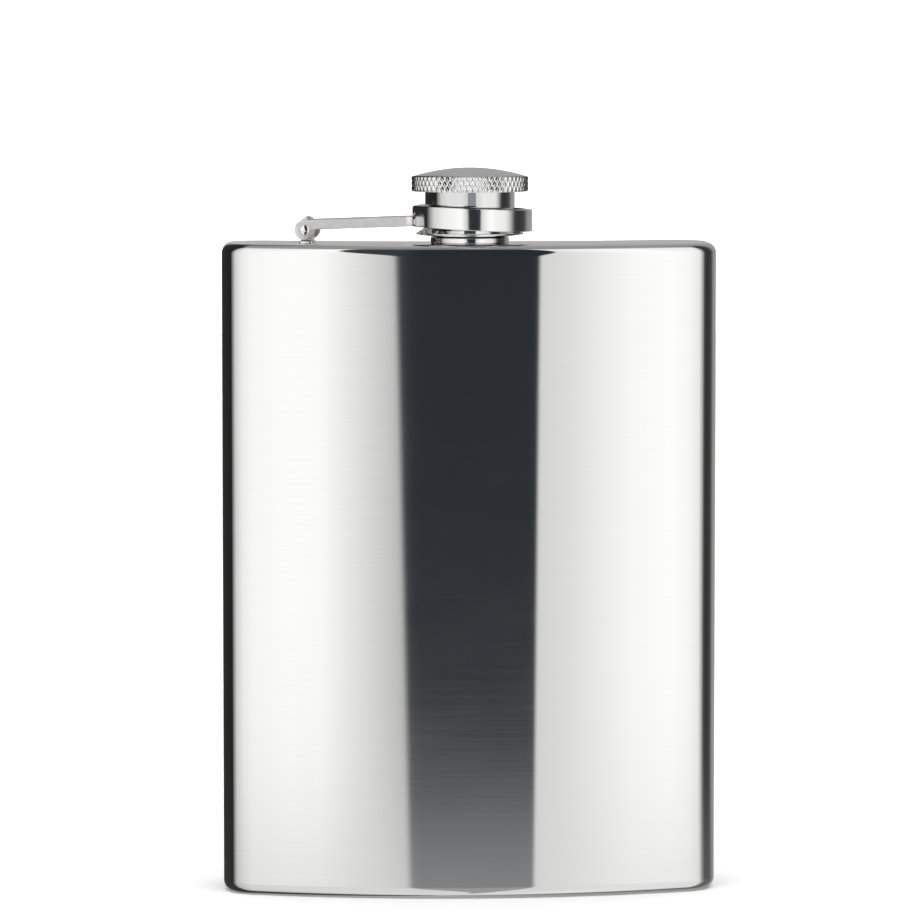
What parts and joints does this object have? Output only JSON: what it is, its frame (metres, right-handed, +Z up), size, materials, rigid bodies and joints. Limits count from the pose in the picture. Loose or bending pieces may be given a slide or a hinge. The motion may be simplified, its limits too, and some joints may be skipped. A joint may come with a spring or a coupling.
{
  "type": "hip flask",
  "caption": "Kidney-shaped stainless steel hip flask with a threaded neck and a knurled screw cap held captive by a hinged strip and ring.",
  "frame": {"origin": "centre of the whole object's box, on the plane that the base stands on", "axes": "+X along the width, away from the hinge; -Y out of the convex front; +Z up through the cap"},
  "size_m": [0.095, 0.0295, 0.1394],
  "materials": {
    "polished_steel": "polished with a fine horizontal grain",
    "turned_steel": "turned and polished",
    "strip_steel": "satin on the legs, polished on the ring",
    "seal": "matte"
  },
  "bodies": {
    "flask": {"body_shell": "polished_steel", "top_plate": "polished_steel", "bottom_plate": "polished_steel", "neck": "turned_steel", "hinge_lug": "turned_steel"},
    "strip": {"captive_arm": "strip_steel", "hinge_pin": "turned_steel"},
    "cap": {"cap_head": "turned_steel", "cap_sleeve": "turned_steel", "cap_seal": "seal"}
  },
  "joints": [
    {"name": "strip_swing", "type": "hinge", "parent": "flask", "child": "strip", "pos_m": [-0.03097, 0.00196, 0.12745], "axis": [-0.1656, -0.9862, 0], "range_deg": [0, 178]},
    {"name": "cap_unscrew", "type": "hinge", "parent": "strip", "child": "cap", "pos_m": [0, -0.00324, 0.13], "axis": [0, 0, 1], "range_deg": [0, 1080]}
  ]
}
